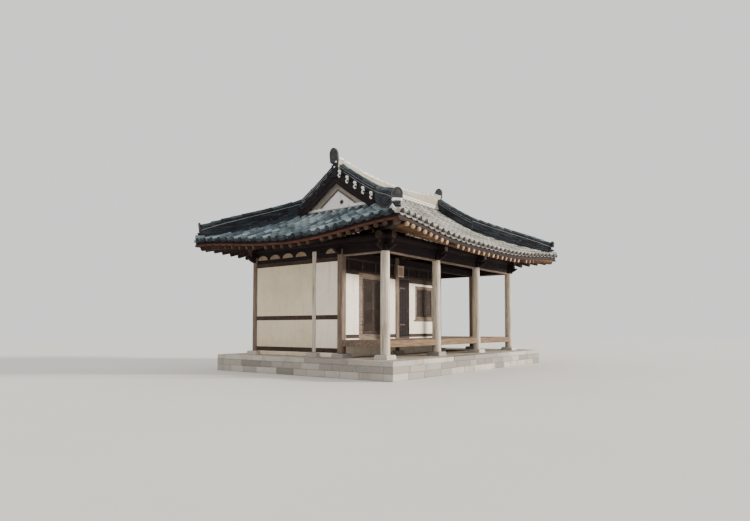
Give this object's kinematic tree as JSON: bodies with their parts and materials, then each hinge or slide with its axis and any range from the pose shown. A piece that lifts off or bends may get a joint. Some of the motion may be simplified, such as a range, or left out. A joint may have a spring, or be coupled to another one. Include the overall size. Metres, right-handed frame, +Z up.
{
  "type": "hanok house",
  "caption": "Traditional Korean hanok house with a hip-and-gable roof of grey clay tiles, timber posts, plastered walls, paper-backed doors and an open plank-floored hall.",
  "frame": {"origin": "on the ground, under the middle of the roof's plan", "axes": "+X along the ridge towards the open hall, +Y from the veranda to the back wall, +Z up"},
  "size_m": [9.972, 7.32, 6.275],
  "materials": {
    "stone": "rough dressed granite and lime mortar",
    "column": "weathered pale pine, dry",
    "timber": "old dark stained pine, dry",
    "rafter": "reddish brown pine, dry",
    "plaster": "lime and clay plaster, matt",
    "floor": "worn floor boards, slightly polished",
    "door": "old pine boards and lattice, dry",
    "tile": "fired grey clay, weathered"
  },
  "bodies": {
    "house": {"back_post_1": "timber", "back_post_2": "timber", "back_post_3": "timber", "back_post_4": "timber", "back_wall_1": "plaster", "back_wall_2": "plaster", "back_wall_3": "plaster", "bargeboards_left": "timber", "bargeboards_right": "timber", "crossbeam_1": "timber", "crossbeam_2": "timber", "door_frame": "timber", "eave_purlins": "timber", "end_post": "column", "end_wall_back": "plaster", "end_wall_front": "plaster", "front_column_1": "column", "front_column_2": "column", "front_column_3": "column", "front_column_4": "column", "front_wall_left": "plaster", "front_wall_middle": "plaster", "front_wall_right": "plaster", "gable_wall_left": "plaster", "gable_wall_right": "plaster", "hall_side_wall": "plaster", "inner_post_1": "timber", "inner_post_2": "timber", "inner_post_3": "timber", "inner_post_4": "timber", "main_ridge": "tile", "plank_door_frame": "timber", "plank_floor": "floor", "rafters_back": "rafter", "rafters_front": "rafter", "rafters_left": "rafter", "rafters_right": "rafter", "room_floor": "stone", "side_ridge_left_back": "tile", "side_ridge_left_front": "tile", "side_ridge_right_back": "tile", "side_ridge_right_front": "tile", "stone_platform": "stone", "tie_beams": "timber", "tiles_back": "tile", "tiles_front": "tile", "tiles_left": "tile", "tiles_right": "tile", "transom_left": "timber", "transom_right": "timber", "upper_roof_frame": "timber", "window_frame": "timber", "window_sash": "door"},
    "left_leaf": {"door_leaf_left": "door"},
    "right_leaf": {"door_leaf_right": "door"},
    "plank_leaf": {"plank_door": "door"}
  },
  "joints": [
    {"name": "left_leaf_hinge", "type": "hinge", "parent": "house", "child": "left_leaf", "pos_m": [-2.8325, -0.999, 1.78], "axis": [0, 0, -1], "range_deg": [0, 100]},
    {"name": "right_leaf_hinge", "type": "hinge", "parent": "house", "child": "right_leaf", "pos_m": [-1.8995, -0.999, 1.78], "axis": [0, 0, 1], "range_deg": [0, 100]},
    {"name": "plank_door_hinge", "type": "hinge", "parent": "house", "child": "plank_leaf", "pos_m": [-1.0812, -0.999, 1.8], "axis": [0, 0, -1], "range_deg": [0, 100]}
  ]
}
